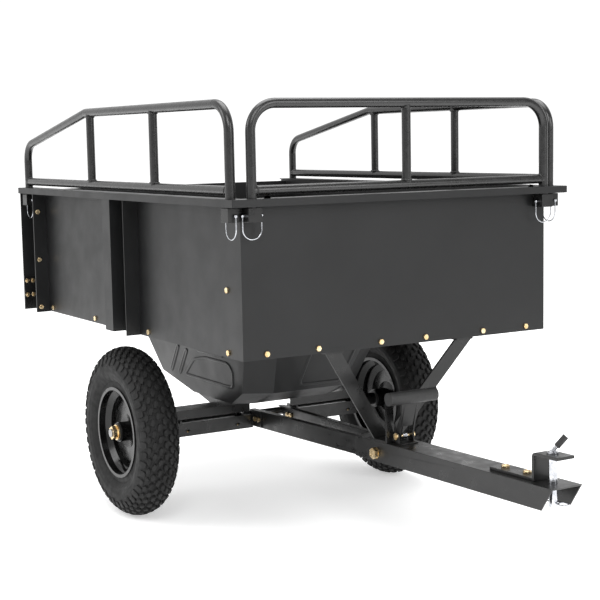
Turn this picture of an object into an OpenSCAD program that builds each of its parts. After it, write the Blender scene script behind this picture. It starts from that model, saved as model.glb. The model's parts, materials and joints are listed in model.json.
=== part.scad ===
// Tow behind dump cart: steel bed on a two wheel axle, with lift-out rails and a pin hitch.
// +Z is up and -Y is towards the tractor. The wheels stand on z = 0, and the origin is on the
// ground under the middle of the whole cart.

/* [Wheels] */
// Overall diameter of the tyre
tyre_d = 400; // [340:2:412]
// Width of the tyre section
tyre_w = 100; // [84:1:104]
// Wall of the tyre
tyre_wall = 8; // [5:1:14]
// Diameter of the rim where the tyre bead sits
bead_d = 204; // [190:1:220]
// Distance between the middles of the two tyres
track = 726; // [700:2:760]
// Diameter of the axle shaft
axle_d = 20; // [16:0.5:24]
// Outer diameter of the wheel hub
hub_d = 46; // [42:1:60]
// Length of the wheel hub
hub_len = 66; // [56:1:78]

/* [Bed] */
// Width of the bed over the side panels
bed_w = 766; // [740:2:800]
// Distance from the axle forward to the front panel
bed_front = 606; // [580:2:700]
// Distance from the axle back to the end of the bed
bed_rear = 550; // [540:2:600]
// Height of the bed floor's underside above the ground
floor_z = 443; // [438:1:480]
// Height of the panels, from the floor's underside to the top of the rim
panel_h = 320; // [240:2:380]
// Thickness of the bed's steel sheet
sheet = 2; // [1.5:0.5:3]
// Width of the rim that stands out from the panels
rim_out = 36; // [34:1:42]
// Depth of the rim's outer lip
rim_lip = 15; // [10:1:22]
// Thickness of the rim
rim_t = 2.5; // [2:0.5:4]
// Width of the front panel's flange that wraps each side
wrap_w = 78; // [60:1:90]

/* [Sunken floor] */
// Half length of the floor well at its mouth
well_len = 300; // [280:5:330]
// Half width of the floor well at its mouth
well_half_w = 190; // [180:2:200]
// Height of the front and rear edges of the well's bottom
well_edge_z = 291; // [288:1:320]
// Height of the well's keel above the axle
well_keel_z = 254; // [250:1:262]

/* [Tongue] */
// Distance from the axle to the tongue's tip
tongue_len = 1118; // [1100:2:1300]
// Width of the tongue channel
tongue_w = 72; // [66:1:84]
// Height of the tongue channel
tongue_h = 45; // [40:1:52]
// Thickness of the tongue steel
tongue_t = 3; // [2.5:0.5:4]
// Height of the tongue's top above the axle centre
tongue_top = 20; // [18:1:24]
// Angle at which the tongue rises towards the hitch
tongue_rise = 1.15; // [0.8:0.05:1.6]
// Diameter of the hitch pin
pin_d = 15.8; // [12:0.1:19]
// Clear height of the hitch jaw
jaw_gap = 49; // [40:1:60]
// Thickness of the hitch bracket
hitch_t = 6; // [5:0.5:8]

/* [Rails] */
// Outer diameter of the rail tube
tube_d = 20; // [18:0.5:22]
// Wall of the rail tube
tube_wall = 1.5; // [1:0.25:3]
// Height of the rails' top tube above the rim
rail_h = 184; // [150:2:240]
// Height of the rails' lower bar above the rim
bar_h = 16; // [14:1:30]
// Radius of the rails' corner bends
bend_r = 55; // [40:1:70]
// Diameter of the lock pins
lock_d = 6; // [5:0.5:7]

/* [Lever] */
// Length of the lever's grip
grip_len = 120; // [100:2:130]
// Diameter of the lever's grip
grip_d = 28; // [24:1:34]
// Height of the lever's grip above its pivot
grip_rise = 92; // [80:1:110]

/* [Hidden] */
$fn = 48;

// Clearances
slip = 0.05;        // a turning or pressed round fit, on the radius
bolt_play = 0.3;    // a bolt in its hole, on the radius
seat = 0.3;         // pieces that rest beside each other
cut = 1;            // how far a cutter runs past what it cuts

// Places that follow from the sizes above; all lengths along Y are measured from the axle
axle_z = tyre_d / 2;
half_w = bed_w / 2;
rim_z = floor_z + panel_h;
rim_x = half_w + rim_out;
post_out = rim_out - rim_t - seat;
rim_end = bed_rear + 5;
tip_reach = tongue_len * cos(tongue_rise) - tongue_top * sin(tongue_rise);
axle_y = (tip_reach - rim_end) / 2;

// Axle
axle_half = half_w + rim_out - 4;
hub_mid = track / 2 - 2;
hub_in = hub_mid - hub_len / 2;
hub_out = hub_mid + hub_len / 2;
washer_t = 2.5;
nut_t = 11;
bush_wall = 3.5;
bush_flange = 4;
bracket_end = 256;
bracket_y = 30;
bracket_t = 3;
bracket_lo = axle_z - 26;
bracket_hi = axle_z + 7;
bracket_bolt_x = [92, bracket_end - 28];
saddle_lo = axle_z + 16;
saddle_hi = axle_z + 37;
saddle_in = 58;
// Half length of the well's flat bottom, and how far its middle sits behind the axle higher up
keel_y = 125;
well_back = 40;
lug_r = axle_d / 2 + 4;

// Tongue
rail_rear_x = 48;
rail_rear_y = axle_d / 2 + 2;
rail_len = 628;
rail_flange = 15;
rail_sheet = 3;
chassis_bolt_y = [30, 46];
rail_hi = tongue_top - tongue_t;
rail_lo = rail_hi - 41;
channel_back = 470;
channel_rake = 32;
rail_turn = atan((rail_rear_x - tongue_w / 2 + tongue_t + seat) / (channel_back - rail_rear_y));
tongue_bolt_y = 552;
tongue_bolt_z = tongue_top - 26;
tongue_bolt_d = 12;

// Hitch
hitch_w = 42;
hitch_back = 920;
hitch_wall_y = 1050;
hitch_front = tongue_len - 4;
hitch_pin_y = tongue_len - 39;
hitch_bolt_y = [942, 1006];
hitch_bolt_d = 8;
jaw_top = tongue_top + jaw_gap + hitch_t;

// Rails and their sockets
rail_out = rim_out / 2;
tube_r = tube_d / 2;
tube_foot = rim_z - 42;
socket_hi = rim_z - rim_lip - 2;
socket_h = 28;
socket_w = 30;
lock_z = socket_hi - 15;
lock_reach = 18;
side_post_y = [4 - bed_front, bed_rear - 31];
front_post_x = half_w - 17;
slope_y = 114;
slope_drop = 76;
upright_y = [-258, 90];

// Panels
panel_in = half_w - sheet;
mid_joint_y = -115;
mid_post_y = -42;
mid_post_w = 44;
rear_post_y = bed_rear - 93;
rear_post_t = 3;
flange_h = 27;
bolt_d = 6;
bolt_row = 11;
gate_y = bed_rear - 30;
front_bolt_x = [57, 210, 330];
side_bolt_y = [60 - bed_front, -161, 146, rear_post_y - 30];
post_bolt_z = [floor_z + 12, floor_z + 135, floor_z + 259];
post_bolt_x = half_w + rail_out + 4;

// Struts and latch
strut_w = 32;
strut_t = 5;
strut_top_x = 166;
strut_foot_y = 535;
strut_foot_t = 4;
foot_half_x = 36;
lever_y = 606;
lever_z = tongue_top + 16;
lever_lean = 17;
lever_pin_d = 8;
lever_ear_x = 20;
lever_ear_t = 3;
cheek_t = 3;
cheek_x = lever_ear_x - lever_ear_t - seat - cheek_t;
rod_r = 6;
rod_y = -4;
spring_wire = 2;
spring_turns = 6;
foot_top = tongue_top + seat + strut_foot_t;
foot_front = -strut_foot_y - 57;
striker_h = 85;

// Wheels
rim_half = 36;
rim_wall = 2.5;
drop_r = bead_d / 2 - 13;
lip_r = bead_d / 2 + 5;
bead_w = 10;
bead_h = 14;

// Plates at the rear posts, rim, tailgate and hitch pin
plate_t = 3;
plate_h = 86;
plate_bolt_z = [floor_z + 37, floor_z + 74];
plate_bolt_x = [half_w + 10, half_w + 26];
wrap_bolt_z = floor_z + 137;
panel_top = rim_z - rim_t - seat;
rim_in = 3 * sheet;
mitre_gap = 0.3;
rim_bolt_x = half_w - 52;
rail_top = rim_z + rail_h;
bar_z0 = rim_z + bar_h;
weld_step = 0.3;
bend_step = 0.1;
lap = 0.4;
slope_end = rail_top - slope_drop;
guide_depth = 16;
guide_gap = 0.8;
gate_t = 10;
gate_top = rim_z - 6;
pin_lo = tongue_top - tongue_h + 1;
clip_z = tongue_top - tongue_h + 9;
clip_d = 3;
handle_r = 3.5;
handle_len = 34;
handle_z = jaw_top + 5;

module at_frame() translate([0, axle_y, 0]) children();
module on_tongue() translate([0, 0, axle_z]) rotate([-tongue_rise, 0, 0]) children();
module at_axle() translate([0, 0, axle_z]) children();
module both_sides() {
  children();
  mirror([1, 0, 0]) children();
}
module side_of(s) mirror([s < 0 ? 1 : 0, 0, 0]) children();

// A box from its low corner to its high corner
module span(lo, hi) translate(lo) cube(hi - lo);

// An outline in Y and Z, drawn out along X from x0 by w
module slab_x(x0, w) translate([x0, 0, 0]) rotate([90, 0, 90]) linear_extrude(w) children();

// Round bar along X, Y or Z from one end to the other
module bar_x(x0, x1, r) translate([x0, 0, 0]) rotate([0, 90, 0]) cylinder(h = x1 - x0, r = r);
module bar_y(y0, y1, r) translate([0, y0, 0]) rotate([-90, 0, 0]) cylinder(h = y1 - y0, r = r);
module bar_z(z0, z1, r) translate([0, 0, z0]) cylinder(h = z1 - z0, r = r);

// Bolt with its head at z > 0, its seat at z = 0 and its shank below, through a stack of
// thickness grip, with a nut under it
module bolt(d, grip) {
  head_h = 0.65 * d;
  nut_h = 0.8 * d;
  across = 1.05 * d;
  cylinder(h = head_h, r = across, $fn = 6);
  translate([0, 0, -grip - nut_h - 2]) cylinder(h = grip + nut_h + 2, r = d / 2);
  translate([0, 0, -grip - nut_h]) difference() {
    cylinder(h = nut_h, r = across, $fn = 6);
    translate([0, 0, -cut]) cylinder(h = nut_h + 2 * cut, r = d / 2 + slip);
  }
}

// Hollow tube in the XY plane through corner points, each corner bent to its own radius
function unit(v) = v / norm(v);
function turn(a, b) = atan2(a[0] * b[1] - a[1] * b[0], a * b);
function tangent(r, a) = r * tan(abs(a) / 2);
module tube_path(points, radii, r) {
  n = len(points);
  for (i = [0:n - 2]) {
    dir = unit(points[i + 1] - points[i]);
    before = i == 0 ? 0 : tangent(radii[i], turn(unit(points[i] - points[i - 1]), dir)) - lap;
    after = i == n - 2 ? 0 : tangent(radii[i + 1],
      turn(dir, unit(points[i + 2] - points[i + 1]))) - lap;
    from = points[i] + dir * before;
    run = norm(points[i + 1] - points[i]) - before - after;
    translate([from[0], from[1], 0]) rotate([0, 90, atan2(dir[1], dir[0])])
      cylinder(h = run, r = r);
  }
  for (i = [1:n - 2]) {
    in_dir = unit(points[i] - points[i - 1]);
    out_dir = unit(points[i + 1] - points[i]);
    a = turn(in_dir, out_dir);
    side = a > 0 ? 1 : -1;
    start = points[i] - in_dir * tangent(radii[i], a);
    centre = start + side * radii[i] * [-in_dir[1], in_dir[0]];
    from_angle = atan2(start[1] - centre[1], start[0] - centre[0]);
    translate([centre[0], centre[1], 0]) rotate([0, 0, a > 0 ? from_angle : from_angle + a])
      rotate_extrude(angle = abs(a)) translate([radii[i], 0]) circle(r = r - bend_step);
  }
}

// ---- Chassis ----

module tongue_channel() at_frame() on_tongue() color("#26282a") difference() {
  slab_x(-tongue_w / 2, tongue_w) polygon([
    [-tongue_len, tongue_top], [-channel_back, tongue_top],
    [-channel_back, tongue_top - tongue_h],
    [-tongue_len + channel_rake, tongue_top - tongue_h]]);
  inner = tongue_w / 2 - tongue_t;
  span([-inner, -tongue_len - cut, tongue_top - tongue_h - cut],
    [inner, -channel_back + cut, tongue_top - tongue_t]);
  translate([0, -hitch_pin_y, 0])
    bar_z(tongue_top - tongue_t - cut, tongue_top + cut, pin_d / 2 + bolt_play);
  for (y = hitch_bolt_y) translate([0, -y, 0])
    bar_z(tongue_top - tongue_t - cut, tongue_top + cut, hitch_bolt_d / 2 + bolt_play);
  translate([0, -tongue_bolt_y, tongue_bolt_z])
    bar_x(-tongue_w, tongue_w, tongue_bolt_d / 2 + bolt_play);
}

module in_rail() translate([rail_rear_x, -rail_rear_y, 0]) rotate([0, 0, -rail_turn]) children();

module tongue_rail() difference() {
  in_rail() difference() {
    span([-rail_flange, -rail_len, rail_lo], [0, 0, rail_hi]);
    span([-rail_flange - cut, -rail_len - cut, rail_lo + rail_sheet],
      [-rail_sheet, cut, rail_hi - rail_sheet]);
    for (y = chassis_bolt_y) translate([0, -y, (rail_lo + rail_hi) / 2])
      bar_x(-rail_flange, cut, bolt_d / 2 + bolt_play);
  }
  translate([0, -tongue_bolt_y, tongue_bolt_z])
    bar_x(-tongue_w, tongue_w, tongue_bolt_d / 2 + bolt_play);
}
module tongue_rails() at_frame() on_tongue() color("#26282a") both_sides() tongue_rail();

module tongue_bolt() at_frame() on_tongue() translate([0, -tongue_bolt_y, tongue_bolt_z])
  color("#c9a34a") {
  washer = 2.5;
  translate([-tongue_w / 2 - washer, 0, 0]) rotate([0, -90, 0])
    bolt(tongue_bolt_d, tongue_w + 2 * washer);
  both_sides() difference() {
    bar_x(tongue_w / 2, tongue_w / 2 + washer, tongue_bolt_d);
    bar_x(tongue_w / 2 - cut, tongue_w / 2 + washer + cut, tongue_bolt_d / 2 + slip);
  }
}

module axle_shaft() at_frame() at_axle() color("#8b8d8f")
  bar_x(-axle_half, axle_half, axle_d / 2);

// Angle that carries the axle, with two bored gussets and a tab on the tongue rail
module axle_bracket() {
  difference() {
    union() {
      span([rail_rear_x + 2, -bracket_y, bracket_lo], [bracket_end, bracket_t - bracket_y, bracket_hi]);
      span([rail_rear_x + 10, -bracket_y, bracket_lo],
        [bracket_end, bracket_y - 2, bracket_lo + bracket_t]);
      for (x = [75, bracket_end - 13])
        span([x, -bracket_y, bracket_lo], [x + 5, axle_d / 2 + 8, axle_z + axle_d / 2 + 3]);
      on_tongue() in_rail() span([0, -56, rail_lo + 2], [bracket_t, -14, rail_hi]);
    }
    at_axle() bar_x(0, bracket_end + cut, axle_d / 2 + slip);
    on_tongue() in_rail() for (y = chassis_bolt_y) translate([0, -y, (rail_lo + rail_hi) / 2])
      bar_x(-cut, bracket_t + 2, bolt_d / 2 + bolt_play);
    for (x = bracket_bolt_x) translate([x, 0, bracket_lo + 13])
      bar_y(-bracket_y - cut, bracket_t - bracket_y + cut, bolt_d / 2 + bolt_play);
  }
}
module axle_bracket_left() at_frame() color("#2b2d2f") side_of(-1) axle_bracket();
module axle_bracket_right() at_frame() color("#2b2d2f") side_of(1) axle_bracket();

module chassis_bolts() at_frame() color("#c9a34a") both_sides() {
  on_tongue() in_rail() for (y = chassis_bolt_y) translate([bracket_t, -y, (rail_lo + rail_hi) / 2])
    rotate([0, 90, 0]) bolt(bolt_d, bracket_t + rail_sheet);
  for (x = bracket_bolt_x) translate([x, -bracket_y, bracket_lo + 13])
    rotate([90, 0, 0]) bolt(bolt_d, bracket_t);
}

module ring_x(x0, x1, r_out, r_in) difference() {
  bar_x(x0, x1, r_out);
  bar_x(x0 - cut, x1 + cut, r_in);
}
module axle_sleeves() at_frame() at_axle() color("#303234") both_sides()
  ring_x(bracket_end, hub_in - bush_flange - seat, axle_d / 2 + 5, axle_d / 2 + slip);
module hub_washers() at_frame() at_axle() color("#c4b27a") both_sides()
  ring_x(hub_out + bush_flange + seat, hub_out + bush_flange + seat + washer_t,
    axle_d / 2 + 8, axle_d / 2 + slip);
module axle_nuts() at_frame() at_axle() color("#c9a34a") both_sides()
  translate([hub_out + bush_flange + seat + washer_t, 0, 0]) rotate([0, 90, 0]) difference() {
    cylinder(h = nut_t, r = axle_d * 0.8, $fn = 6);
    translate([0, 0, -cut]) cylinder(h = nut_t + 2 * cut, r = axle_d / 2 + slip);
  }

// Bent strap: a base on the tongue, a wall, and an upper jaw over the tongue's tip
module hitch_bracket() at_frame() on_tongue() color("#1d1f20") difference() {
  bend = 10;
  slab_x(-hitch_w / 2, hitch_w) {
    translate([-hitch_wall_y, tongue_top]) square([hitch_wall_y - hitch_back, hitch_t]);
    translate([-hitch_wall_y, tongue_top]) square([hitch_t, jaw_top - tongue_top]);
    translate([-hitch_front, jaw_top - hitch_t])
      square([hitch_front - hitch_wall_y + hitch_t, hitch_t]);
  }
  translate([0, hitch_t - bend - hitch_wall_y, jaw_top - bend]) difference() {
    bar_x(-hitch_w, hitch_w, 2 * bend);
    bar_x(-hitch_w - cut, hitch_w + cut, bend);
    span([-hitch_w - cut, -3 * bend, -3 * bend], [hitch_w + cut, 0, 3 * bend]);
    span([-hitch_w - cut, -3 * bend, -3 * bend], [hitch_w + cut, 3 * bend, 0]);
  }
  translate([0, -hitch_pin_y, 0])
    bar_z(jaw_top - hitch_t - cut, jaw_top + cut, pin_d / 2 + bolt_play);
  for (y = hitch_bolt_y) translate([0, -y, 0])
    bar_z(tongue_top - cut, tongue_top + hitch_t + cut, hitch_bolt_d / 2 + bolt_play);
}

module hitch_bolts() at_frame() on_tongue() color("#c9a34a")
  for (y = hitch_bolt_y) translate([0, -y, tongue_top + hitch_t])
    bolt(hitch_bolt_d, hitch_t + tongue_t);

// Two ears on the tongue that hold the lever's pivot
module lever_base() at_frame() on_tongue() color("#1d1f20") difference() {
  union() {
    span([-lever_ear_x, -lever_y - 22, tongue_top],
      [lever_ear_x, -lever_y + 12, tongue_top + lever_ear_t]);
    both_sides() slab_x(lever_ear_x - lever_ear_t, lever_ear_t) {
      translate([-lever_y, lever_z]) circle(r = 9);
      translate([-lever_y - 9, tongue_top]) square([18, lever_z - tongue_top]);
    }
  }
  translate([0, -lever_y, lever_z]) bar_x(-tongue_w, tongue_w, lever_pin_d / 2 + slip);
}
module lever_pivot() at_frame() on_tongue() translate([0, -lever_y, lever_z]) color("#c9a34a") {
  bar_x(-lever_ear_x - 4, lever_ear_x + 4, lever_pin_d / 2);
  both_sides() translate([lever_ear_x + seat, 0, 0]) rotate([0, 90, 0]) difference() {
    cylinder(h = 3, r = lever_pin_d * 0.9);
    translate([0, 0, -cut]) cylinder(h = 3 + 2 * cut, r = lever_pin_d / 2 + slip);
  }
}
// Torsion spring of six close turns round the pivot
module lever_spring() at_frame() on_tongue() translate([0, -lever_y, lever_z]) color("#9a9c9e")
  rotate([0, 90, 0]) rotate_extrude() for (i = [0:spring_turns - 1])
    translate([lever_pin_d / 2 + 0.4 + spring_wire / 2, (i - (spring_turns - 1) / 2) * spring_wire * 0.9])
      circle(d = spring_wire, $fn = 24);

// ---- Wheels ----

module at_wheel(s) at_frame() at_axle() side_of(s) translate([track / 2, 0, 0])
  rotate([0, 90, 0]) children();
module at_hub(s) at_frame() at_axle() side_of(s) translate([hub_mid, 0, 0])
  rotate([0, 90, 0]) children();

// Round section tyre, open at the beads
module tyre(s) at_wheel(s) color("#1b1b1c") rotate_extrude($fn = 96) difference() {
  section_r = tyre_w / 2;
  section_at = tyre_d / 2 - section_r;
  union() {
    translate([section_at, 0]) circle(r = section_r);
    for (low = [rim_half - bead_w, 2 * slip - rim_half]) translate([0, low])
      square([bead_d / 2 + bead_h, bead_w - 2 * slip]);
  }
  translate([section_at, 0]) circle(r = section_r - tyre_wall);
  translate([0, -tyre_w]) square([bead_d / 2 + slip, 2 * tyre_w]);
  translate([0, bead_w - rim_half]) square([section_at, 2 * (rim_half - bead_w)]);
}

// Pressed rim: two bead seats with lips, a drop centre and a dished disc down to the hub
module rim_disc(s) at_wheel(s) color("#17181a") {
  rotate_extrude($fn = 96) {
    both_sides_2d() {
      translate([bead_d / 2 - rim_wall, rim_half * 0.62]) square([rim_wall, rim_half * 0.38]);
      translate([bead_d / 2 - rim_wall, rim_half]) square([lip_r - bead_d / 2 + rim_wall, rim_wall]);
      polygon([[bead_d / 2, rim_half * 0.62], [bead_d / 2 - rim_wall, rim_half * 0.62],
        [drop_r - rim_wall, rim_half * 0.34], [drop_r, rim_half * 0.34]]);
      translate([drop_r - rim_wall, 0]) square([rim_wall, rim_half * 0.34]);
    }
    disc_in = hub_d / 2 + slip;
    polygon([[drop_r - rim_wall, 0], [drop_r - rim_wall, rim_wall], [70, rim_wall + 6],
      [40, rim_wall + 6], [disc_in, rim_wall + 2], [disc_in, 2], [40, 6], [70, 6]]);
  }
  translate([bead_d / 2 - 5, 0, rim_half * 0.45]) rotate([0, -62, 0]) {
    cylinder(h = 22, r = 3.2);
    translate([0, 0, 22]) cylinder(h = 10, r = 4);
  }
}
module both_sides_2d() {
  children();
  mirror([0, 1]) children();
}
module hub(s) at_hub(s) color("#232527") difference() {
  cylinder(h = hub_len, r = hub_d / 2, center = true);
  cylinder(h = hub_len + 2 * cut, r = axle_d / 2 + bush_wall + slip, center = true);
}
// Flanged bush in each end of the hub
module hub_bushes(s) at_hub(s) color("#3a3b3c") for (end = [0, 1])
  mirror([0, 0, end]) difference() {
    union() {
      translate([0, 0, hub_len / 2]) cylinder(h = bush_flange, r = hub_d / 2 - 2);
      translate([0, 0, hub_len / 2 - 20]) cylinder(h = 20, r = axle_d / 2 + bush_wall);
    }
    translate([0, 0, hub_len / 2 - 20 - cut])
      cylinder(h = 20 + bush_flange + 2 * cut, r = axle_d / 2 + slip);
  }
module tyre_left() tyre(-1);
module tyre_right() tyre(1);
module rim_disc_left() rim_disc(-1);
module rim_disc_right() rim_disc(1);
module hub_left() hub(-1);
module hub_right() hub(1);
module hub_bushes_left() hub_bushes(-1);
module hub_bushes_right() hub_bushes(1);

// ---- Bed ----

// Eight sided outline of the well, t in from its outside, with its corners clipped
module well_outline(half_x, half_y, clip_x, clip_y, t) polygon([
  for (q = [[1, 1], [-1, 1], [-1, -1], [1, -1]]) for (k = q[0] * q[1] > 0 ? [0, 1] : [1, 0])
    [q[0] * (half_x - t - (k == 0 ? 0 : clip_x)), q[1] * (half_y - t - (k == 0 ? clip_y : 0))]]);
module well_level(z, shift) translate([0, shift, z]) linear_extrude(0.01) children();
module well_body(t) hull() {
  well_level(floor_z, well_back) well_outline(well_half_w, well_len + well_back, 65, 45, t);
  well_level(well_edge_z + t, well_back)
    well_outline(well_half_w - 35, well_len - 85 + well_back, 60, 40, t);
  well_level(well_keel_z + t, 0) well_outline(well_half_w - 45, keel_y, 45, 25, t);
}
// Bed floor: a deck with turned up edges and a sunken well between the wheels
module floor_pan() at_frame() color("#2d2f31") {
  edge = panel_in - sheet - slip;
  front = sheet + slip - bed_front;
  difference() {
    union() {
      span([-edge, front, floor_z], [edge, bed_rear, floor_z + flange_h]);
      well_body(0);
    }
    span([sheet - edge, front + sheet, floor_z + sheet],
      [edge - sheet, bed_rear + cut, floor_z + flange_h + cut]);
    well_body(sheet);
    translate([0, well_back, floor_z]) linear_extrude(sheet + cut)
      well_outline(well_half_w, well_len + well_back, 65, 45, sheet);
    for (x = front_bolt_x) both_sides() translate([x, 0, floor_z + bolt_row])
      bar_y(-bed_front - cut, front + sheet + cut, bolt_d / 2 + bolt_play);
    for (y = side_bolt_y) both_sides() translate([0, y, floor_z + bolt_row])
      bar_x(edge - sheet - cut, half_w + cut, bolt_d / 2 + bolt_play);
  }
}

// Pressed bracket that carries the bed on the axle: an angle with two lugs on the shaft and
// two wings that reach out under the flat bottom of the well
module bed_saddle() {
  wing_y = keel_y - 20;
  wing_t = 8;
  wing_x1 = well_half_w - 56;
  wing_z = well_keel_z - 2 * slip;
  base = saddle_hi - 2 * slip;
  span([saddle_in, -bracket_y, saddle_lo], [bracket_end, bracket_t - bracket_y, saddle_hi]);
  span([saddle_in, -bracket_y, saddle_hi - bracket_t], [bracket_end, bracket_y, saddle_hi]);
  for (x = [84, bracket_end - 20]) slab_x(x, 5) difference() {
    union() {
      translate([0, axle_z]) circle(r = lug_r);
      translate([-lug_r, axle_z]) square([2 * lug_r, saddle_hi - bracket_t - axle_z]);
    }
    translate([0, axle_z]) circle(r = axle_d / 2 + slip);
  }
  for (x = [saddle_in, wing_x1]) slab_x(x, bracket_t) polygon([
    [-bracket_y, base], [bracket_y, base], [wing_y, wing_z], [-wing_y, wing_z]]);
  for (side = [0, 1]) mirror([0, side, 0]) slab_x(saddle_in, wing_x1 + bracket_t - saddle_in)
    polygon([[bracket_y, base], [wing_y, wing_z], [wing_y - wing_t, wing_z], [bracket_y - wing_t, base]]);
}
module bed_saddle_left() at_frame() color("#2b2d2f") side_of(-1) bed_saddle();
module bed_saddle_right() at_frame() color("#2b2d2f") side_of(1) bed_saddle();

// Front panel with a flange that wraps round each side of the bed
module front_panel() at_frame() color("#2d2f31") difference() {
  union() {
    span([-half_w, -bed_front, floor_z], [half_w, sheet - bed_front, panel_top]);
    both_sides() span([half_w - sheet, -bed_front, floor_z], [half_w, wrap_w - bed_front, panel_top]);
  }
  for (x = front_bolt_x) both_sides() translate([x, 0, floor_z + bolt_row])
    bar_y(-bed_front - cut, sheet - bed_front + cut, bolt_d / 2 + bolt_play);
  for (z = [floor_z + bolt_row, wrap_bolt_z]) both_sides()
    translate([0, side_bolt_y[0], z]) bar_x(half_w - sheet - cut, half_w + cut, bolt_d / 2 + bolt_play);
}

// Front side panel, with an outward flange at the middle joint
module side_panel_front() difference() {
  union() {
    span([panel_in - sheet, sheet + slip - bed_front, floor_z],
      [panel_in, mid_joint_y, panel_top]);
    span([panel_in - sheet, mid_joint_y - sheet, floor_z],
      [half_w + post_out, mid_joint_y, panel_top]);
  }
  for (z = [floor_z + bolt_row, wrap_bolt_z])
    translate([0, side_bolt_y[0], z]) bar_x(panel_in - sheet - cut, half_w + cut, bolt_d / 2 + bolt_play);
  translate([0, side_bolt_y[1], floor_z + bolt_row])
    bar_x(panel_in - sheet - cut, half_w + cut, bolt_d / 2 + bolt_play);
}
// Rear side panel, from the middle joint to an outward flange on the rear post
module side_panel_rear() difference() {
  union() {
    span([panel_in - sheet, mid_joint_y, floor_z], [panel_in, rear_post_y, panel_top]);
    span([panel_in - sheet, rear_post_y - sheet, floor_z],
      [half_w + post_out, rear_post_y, panel_top]);
  }
  for (y = [side_bolt_y[2], side_bolt_y[3]]) translate([0, y, floor_z + bolt_row])
    bar_x(panel_in - sheet - cut, half_w + cut, bolt_d / 2 + bolt_play);
  rear_post_holes();
}
// Holes through the panel's flange and the post
module rear_post_holes() for (z = post_bolt_z) translate([post_bolt_x, 0, z])
  bar_y(rear_post_y - sheet - cut, rear_post_y + rear_post_t + cut, bolt_d / 2 + bolt_play);
module side_panel_front_left() at_frame() color("#2d2f31") side_of(-1) side_panel_front();
module side_panel_front_right() at_frame() color("#2d2f31") side_of(1) side_panel_front();
module side_panel_rear_left() at_frame() color("#2d2f31") side_of(-1) side_panel_rear();
module side_panel_rear_right() at_frame() color("#2d2f31") side_of(1) side_panel_rear();

// Stiffening post on the outside of the rear side panel: a channel with two feet
module mid_post() {
  outer = half_w + post_out;
  foot = 12;
  z0 = floor_z + sheet;
  span([outer - sheet, mid_post_y, z0], [outer, mid_post_y + mid_post_w, panel_top]);
  for (y = [mid_post_y, mid_post_y + mid_post_w - sheet])
    span([panel_in, y, z0], [outer, y + sheet, panel_top]);
  for (y = [mid_post_y - foot, mid_post_y + mid_post_w - sheet])
    span([panel_in, y, z0], [panel_in + sheet, y + foot + sheet, panel_top]);
}
module mid_post_left() at_frame() color("#2d2f31") side_of(-1) mid_post();
module mid_post_right() at_frame() color("#2d2f31") side_of(1) mid_post();

// Rear corner post: a channel that opens outwards
module rear_post() difference() {
  outer = half_w + post_out;
  web_x = panel_in - sheet;
  union() {
    span([web_x, rear_post_y, floor_z - sheet], [web_x + rear_post_t, bed_rear, panel_top]);
    span([web_x, rear_post_y, floor_z - sheet],
      [outer, rear_post_y + rear_post_t, panel_top]);
    span([web_x, bed_rear - rear_post_t, floor_z - sheet], [outer, bed_rear, panel_top]);
  }
  rear_post_holes();
  plate_holes();
}
module plate_holes() for (z = plate_bolt_z) for (x = plate_bolt_x) translate([x, 0, z])
  bar_y(bed_rear - rear_post_t - plate_t - cut, bed_rear + cut, bolt_d / 2 + bolt_play);
module rear_post_left() at_frame() color("#232527") side_of(-1) rear_post();
module rear_post_right() at_frame() color("#232527") side_of(1) rear_post();
module rear_post_plates() at_frame() color("#1d1f20") both_sides() difference() {
  back = bed_rear - rear_post_t;
  span([half_w, back - plate_t, floor_z], [half_w + post_out, back, floor_z + plate_h]);
  plate_holes();
}

// Rim: an angle that caps the panels, mitred at the front corners
module rim_profile() {
  translate([-rim_in, -rim_t]) square([rim_out + rim_in, rim_t]);
  translate([rim_out - rim_t, -rim_lip]) square([rim_t, rim_lip]);
}
// Everything in front of (side = 0) or outside (side = 1) the mitre at the bed's right corner
module mitre(side) translate([half_w, -bed_front, rim_z - rim_lip - cut])
  linear_extrude(rim_lip + 2 * cut) mirror([side, side]) polygon([
    [-2 * rim_in, 2 * rim_in + mitre_gap], [2 * rim_out, mitre_gap - 2 * rim_out],
    [-2 * rim_in, -2 * rim_out]]);
module rim_side() difference() {
  translate([half_w, rim_end, rim_z]) rotate([90, 0, 0])
    linear_extrude(rim_end + bed_front + rim_out) rim_profile();
  mitre(0);
  for (y = side_post_y) translate([half_w + rail_out, y, 0])
    bar_z(rim_z - rim_t - cut, rim_z + cut, tube_r + bolt_play);
}
module rim_left() at_frame() color("#2d2f31") side_of(-1) rim_side();
module rim_right() at_frame() color("#2d2f31") side_of(1) rim_side();
module rim_front() at_frame() color("#2d2f31") difference() {
  translate([-rim_x, -bed_front, rim_z]) rotate([90, 0, 90])
    linear_extrude(2 * rim_x) mirror([1, 0]) rim_profile();
  both_sides() mitre(1);
  both_sides() {
    translate([front_post_x, -bed_front - rail_out, 0])
      bar_z(rim_z - rim_t - cut, rim_z + cut, tube_r + bolt_play);
    translate([rim_bolt_x, -bed_front - rail_out, 0])
      bar_z(rim_z - rim_t - cut, rim_z + cut, bolt_d / 2 + bolt_play);
  }
}

// ---- Rails ----

// Bore for a lock pin through a rail post, in the plane of the rail
module cross_bore(x) translate([x, lock_z, 0])
  rotate([0, 90, 0]) cylinder(h = 2 * tube_d, r = lock_d / 2 + slip, center = true);
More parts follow.
